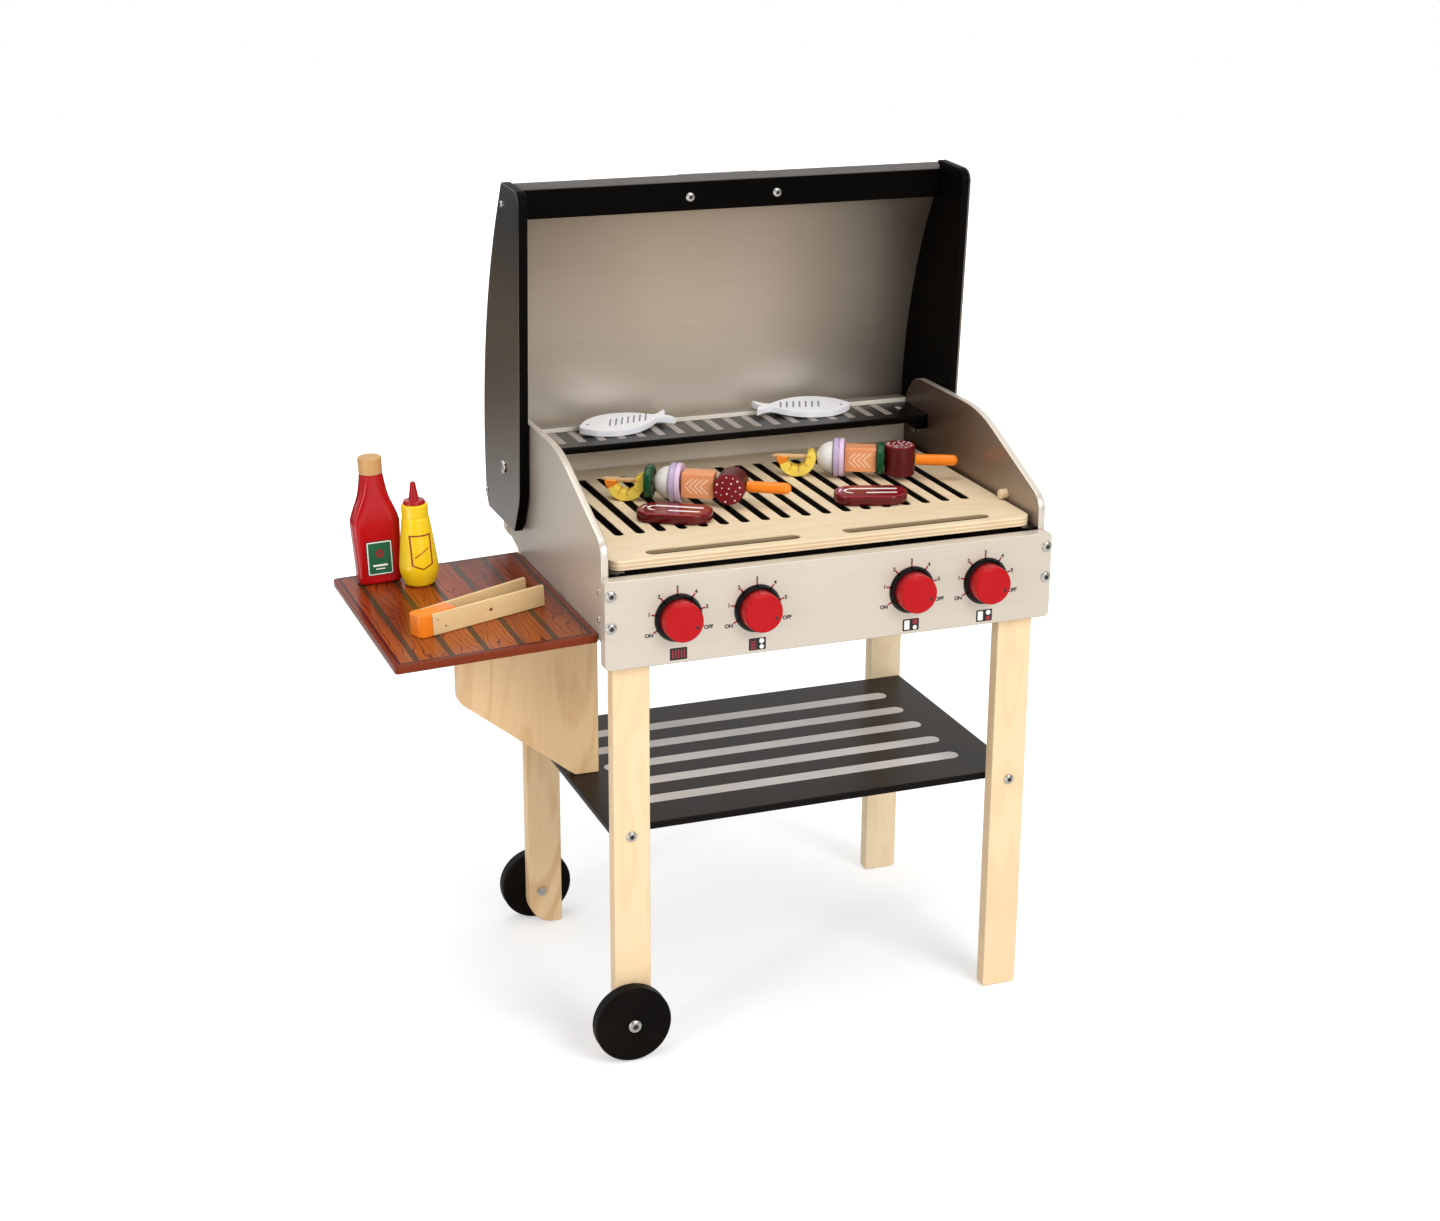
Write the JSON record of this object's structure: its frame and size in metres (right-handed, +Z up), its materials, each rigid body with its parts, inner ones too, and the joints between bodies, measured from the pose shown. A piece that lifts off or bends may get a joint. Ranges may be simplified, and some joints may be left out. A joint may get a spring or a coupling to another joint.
{
  "type": "toy barbecue grill",
  "caption": "Wooden toy barbecue grill on legs and wheels with a hinged hood, turning knobs, sliding grate, warming rack, shelf, side table, play food, bottles and tongs.",
  "frame": {"origin": "on the floor, under the middle of the whole grill's outer box", "axes": "+X to the right of someone at the control panel, +Y from the control panel to the back panel, +Z up"},
  "size_m": [0.578, 0.3394, 0.7109],
  "materials": {
    "silver_panel": "fibreboard with satin warm silver paint, dials printed on the front",
    "black_board": "board with satin black paint",
    "bare_wood": "pale plywood under clear varnish",
    "brushed_skin": "thin sheet with a brushed warm grey face",
    "bolt_metal": "bright plated steel",
    "table_print": "board printed as red-brown planks",
    "red_paint": "gloss red paint",
    "wheel_black": "satin black paint",
    "yellow_paint": "gloss yellow paint",
    "orange_paint": "satin orange paint",
    "shrimp_paint": "satin yellow paint with orange patches",
    "green_paint": "satin dark green paint",
    "white_paint": "satin white paint",
    "lilac_paint": "satin lilac paint",
    "salmon_paint": "satin orange-pink paint with pale lines",
    "meat_paint": "satin dark red paint with pale streaks"
  },
  "bodies": {
    "frame": {"control_panel": "silver_panel", "back_panel": "silver_panel", "left_side_panel": "silver_panel", "right_side_panel": "silver_panel", "firebox_tray": "black_board", "grate_rail_left": "black_board", "grate_rail_right": "black_board", "grate_peg_left": "bare_wood", "grate_peg_right": "bare_wood", "warming_rack": "black_board", "rack_cleat_left": "black_board", "rack_cleat_right": "black_board", "leg_front_left": "bare_wood", "leg_front_right": "bare_wood", "leg_back_left": "bare_wood", "leg_back_right": "bare_wood", "lower_shelf": "black_board", "side_table_bracket": "bare_wood", "side_table": "table_print", "axle_bolt_front": "bolt_metal", "axle_bolt_back": "bolt_metal", "hood_hinge_bolt_left": "bolt_metal", "hood_hinge_bolt_right": "bolt_metal"},
    "hood": {"hood_left_cheek": "black_board", "hood_right_cheek": "black_board", "hood_skin": "brushed_skin", "hood_front_rail": "black_board", "hood_back_rail": "black_board", "hood_handle": "black_board"},
    "knob_1": {"knob_1": "red_paint"},
    "knob_2": {"knob_2": "red_paint"},
    "knob_3": {"knob_3": "red_paint"},
    "knob_4": {"knob_4": "red_paint"},
    "wheel_front": {"wheel_front": "wheel_black"},
    "wheel_back": {"wheel_back": "wheel_black"},
    "grate": {"cooking_grate": "bare_wood"},
    "kebab_1": {"kebab_1_shrimp": "shrimp_paint", "kebab_1_pepper": "green_paint", "kebab_1_mushroom": "white_paint", "kebab_1_onion": "lilac_paint", "kebab_1_salmon": "salmon_paint", "kebab_1_sausage": "meat_paint", "kebab_1_skewer": "orange_paint"},
    "kebab_2": {"kebab_2_shrimp": "shrimp_paint", "kebab_2_pepper": "green_paint", "kebab_2_mushroom": "white_paint", "kebab_2_onion": "lilac_paint", "kebab_2_salmon": "salmon_paint", "kebab_2_sausage": "meat_paint", "kebab_2_skewer": "orange_paint"},
    "steak_1": {"steak_1": "meat_paint"},
    "steak_2": {"steak_2": "meat_paint"},
    "fish_1": {"fish_1": "white_paint"},
    "fish_2": {"fish_2": "white_paint"},
    "ketchup_bottle": {"ketchup_bottle": "red_paint"},
    "mustard_bottle": {"mustard_bottle": "yellow_paint"},
    "tongs": {"tongs_block": "orange_paint"},
    "tongs_front_arm": {"tongs_front_arm": "bare_wood"},
    "tongs_back_arm": {"tongs_back_arm": "bare_wood"}
  },
  "joints": [
    {"name": "hood_hinge", "type": "hinge", "parent": "frame", "child": "hood", "pos_m": [0.07755, 0.10385, 0.4579], "axis": [-1, 0, 0], "range_deg": [-83, 0]},
    {"name": "knob_1_turn", "type": "hinge", "parent": "frame", "child": "knob_1", "pos_m": [-0.06025, -0.15345, 0.3932], "axis": [0, -1, 0], "range_deg": [0, 228]},
    {"name": "knob_2_turn", "type": "hinge", "parent": "frame", "child": "knob_2", "pos_m": [0.00835, -0.15345, 0.3932], "axis": [0, -1, 0], "range_deg": [0, 228]},
    {"name": "knob_3_turn", "type": "hinge", "parent": "frame", "child": "knob_3", "pos_m": [0.14675, -0.15345, 0.3932], "axis": [0, -1, 0], "range_deg": [0, 228]},
    {"name": "knob_4_turn", "type": "hinge", "parent": "frame", "child": "knob_4", "pos_m": [0.21535, -0.15345, 0.3932], "axis": [0, -1, 0], "range_deg": [0, 228]},
    {"name": "wheel_front_spin", "type": "hinge", "parent": "frame", "child": "wheel_front", "pos_m": [-0.10095, -0.14915, 0.0335], "axis": [0, 1, 0], "continuous": true},
    {"name": "wheel_back_spin", "type": "hinge", "parent": "frame", "child": "wheel_back", "pos_m": [-0.10095, 0.14025, 0.0335], "axis": [0, 1, 0], "continuous": true},
    {"name": "grate_slide", "type": "slide", "parent": "frame", "child": "grate", "axis": [0, -1, 0], "range_m": [0, 0.12]},
    {"name": "kebab_1_lift", "type": "slide", "parent": "grate", "child": "kebab_1", "axis": [0, 0, 1], "range_m": [0, 0.08]},
    {"name": "kebab_2_lift", "type": "slide", "parent": "grate", "child": "kebab_2", "axis": [0, 0, 1], "range_m": [0, 0.08]},
    {"name": "steak_1_lift", "type": "slide", "parent": "grate", "child": "steak_1", "axis": [0, 0, 1], "range_m": [0, 0.08]},
    {"name": "steak_2_lift", "type": "slide", "parent": "grate", "child": "steak_2", "axis": [0, 0, 1], "range_m": [0, 0.08]},
    {"name": "fish_1_lift", "type": "slide", "parent": "frame", "child": "fish_1", "axis": [0, -0.6, 0.8], "range_m": [0, 0.06]},
    {"name": "fish_2_lift", "type": "slide", "parent": "frame", "child": "fish_2", "axis": [0, -0.6, 0.8], "range_m": [0, 0.06]},
    {"name": "ketchup_bottle_lift", "type": "slide", "parent": "frame", "child": "ketchup_bottle", "axis": [-0.04, 0, 0.9992], "range_m": [0, 0.08]},
    {"name": "mustard_bottle_lift", "type": "slide", "parent": "frame", "child": "mustard_bottle", "axis": [-0.04, 0, 0.9992], "range_m": [0, 0.08]},
    {"name": "tongs_lift", "type": "slide", "parent": "frame", "child": "tongs", "axis": [-0.04, 0, 0.9992], "range_m": [0, 0.08]},
    {"name": "tongs_front_arm_bend", "type": "hinge", "parent": "tongs", "child": "tongs_front_arm", "pos_m": [-0.22249, -0.0708, 0.38548], "axis": [-0.04, 0, 0.9992], "range_deg": [0, 6], "stiffness_Nm_per_rad": 0.05},
    {"name": "tongs_back_arm_bend", "type": "hinge", "parent": "tongs", "child": "tongs_back_arm", "pos_m": [-0.22753, -0.05631, 0.38528], "axis": [-0.04, 0, 0.9992], "range_deg": [-6, 0], "stiffness_Nm_per_rad": 0.05}
  ]
}
